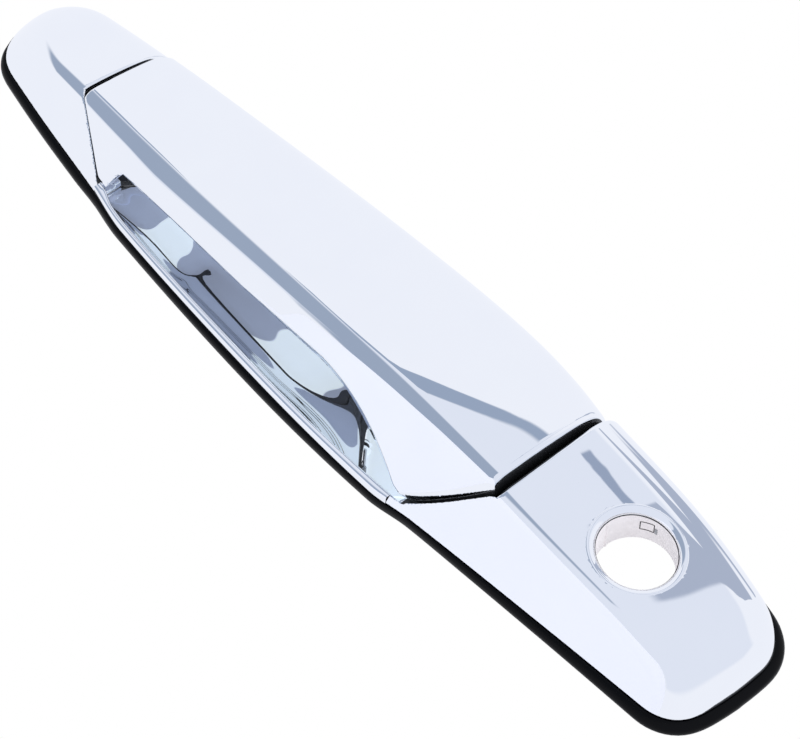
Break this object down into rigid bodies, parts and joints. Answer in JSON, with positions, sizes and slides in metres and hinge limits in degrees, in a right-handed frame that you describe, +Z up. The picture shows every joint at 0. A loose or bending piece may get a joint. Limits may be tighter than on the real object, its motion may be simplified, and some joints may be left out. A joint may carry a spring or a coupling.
{
  "type": "car door handle",
  "caption": "Chrome exterior car door handle: flush bezel with finger cup and lock opening, top-hinged pull paddle, release lever behind, black rubber perimeter seal.",
  "frame": {"origin": "on the door skin's outer face (the seal's back face, Y = 0), at the middle of the length and between the two long edges", "axes": "+X along the length towards the lock end, +Y into the door, +Z up towards the hinge edge, so -Y faces outwards"},
  "size_m": [0.3043, 0.0824, 0.0646],
  "materials": {
    "chrome_plate": "bright chrome plating on moulded plastic, near-mirror",
    "chrome_cup": "bright chrome plating in a hollow, near-mirror",
    "seal_rubber": "satin black moulded rubber",
    "stop_rubber": "matt black rubber",
    "black_nylon": "glass-filled black nylon, fine texture",
    "spring_steel": "oiled spring steel",
    "pin_steel": "ground steel",
    "zinc_lever": "die-cast zinc alloy, dull grey",
    "zinc_weight": "die-cast zinc alloy, dull grey",
    "clip_nylon": "natural nylon",
    "zinc_stud": "zinc-plated steel",
    "zinc_nut": "zinc-plated steel",
    "zinc_screw": "zinc-plated steel"
  },
  "bodies": {
    "base": {"bezel": "chrome_plate", "lock_ring": "chrome_plate", "finger_cup": "chrome_cup", "seal": "seal_rubber", "bump_stop_left": "stop_rubber", "bump_stop_right": "stop_rubber", "chassis": "black_nylon", "lock_clip": "spring_steel", "return_spring": "spring_steel", "hinge_clip_left": "spring_steel", "hinge_clip_right": "spring_steel", "lever_clip_left": "spring_steel", "lever_clip_right": "spring_steel", "hinge_pin": "pin_steel", "lever_pin": "pin_steel", "lock_sleeve": "clip_nylon", "stud_left": "zinc_stud", "stud_right": "zinc_stud", "nut_left": "zinc_nut", "nut_right": "zinc_nut", "chassis_screw_1": "zinc_screw", "chassis_screw_2": "zinc_screw", "chassis_screw_3": "zinc_screw", "cup_screw_1": "zinc_screw", "cup_screw_2": "zinc_screw", "cup_screw_3": "zinc_screw"},
    "paddle": {"paddle_shell": "chrome_plate", "paddle_backing": "black_nylon"},
    "lever": {"release_lever": "zinc_lever", "counterweight": "zinc_weight", "rod_clip": "clip_nylon"}
  },
  "joints": [
    {"name": "paddle_hinge", "type": "hinge", "parent": "base", "child": "paddle", "pos_m": [0, -0.01, 0.0155], "axis": [-1, 0, 0], "range_deg": [0, 25], "stiffness_Nm_per_rad": 0.3, "springref_deg": -22.92, "deforming": ["return_spring"]},
    {"name": "lever_pivot", "type": "hinge", "parent": "base", "child": "lever", "pos_m": [0.067, 0.028, 0.008], "axis": [1, 0, 0], "range_deg": [0, 35]}
  ],
  "couplings": [
    {"joint": "lever_pivot", "follows": "paddle_hinge", "ratio": 1.4}
  ]
}
